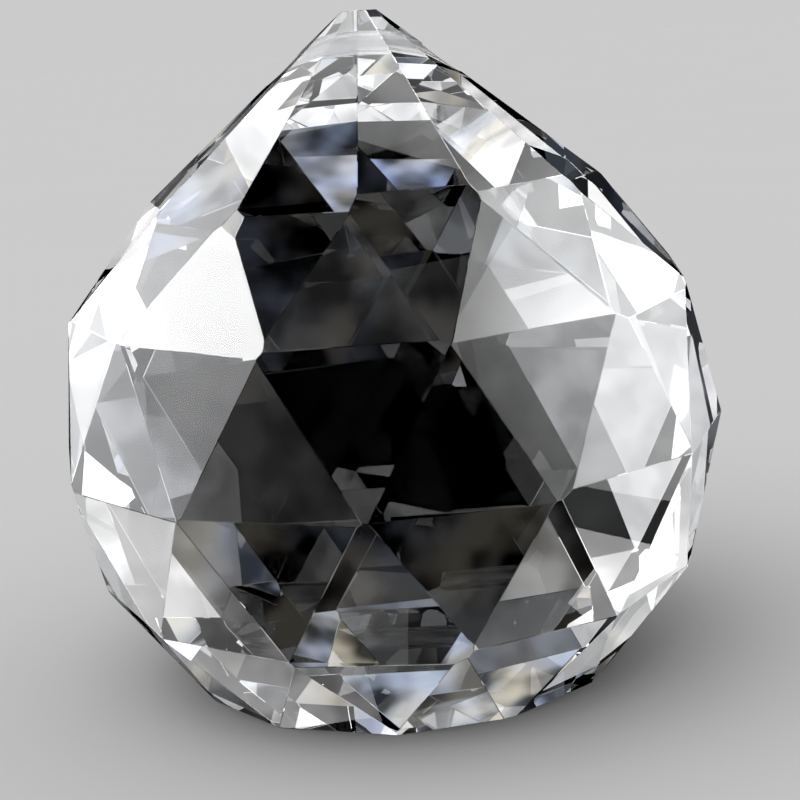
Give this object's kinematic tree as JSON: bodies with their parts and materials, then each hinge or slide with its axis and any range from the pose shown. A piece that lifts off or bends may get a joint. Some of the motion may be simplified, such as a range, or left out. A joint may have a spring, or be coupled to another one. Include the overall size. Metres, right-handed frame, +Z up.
{
  "type": "crystal suncatcher",
  "caption": "Faceted clear crystal ball that runs up into a pointed cone, with a hanging hole drilled across just below its tip and a flat facet below.",
  "frame": {"origin": "centre of the flat facet that the stone stands on", "axes": "+Z up along the stone's axis to its tip, X along the hanging hole, -Y towards the front, where one corner of the cone's foot points"},
  "size_m": [0.04, 0.04, 0.0393],
  "materials": {
    "crystal": "polished"
  },
  "bodies": {
    "root": {"cut_crystal_ball": "crystal"}
  },
  "joints": []
}
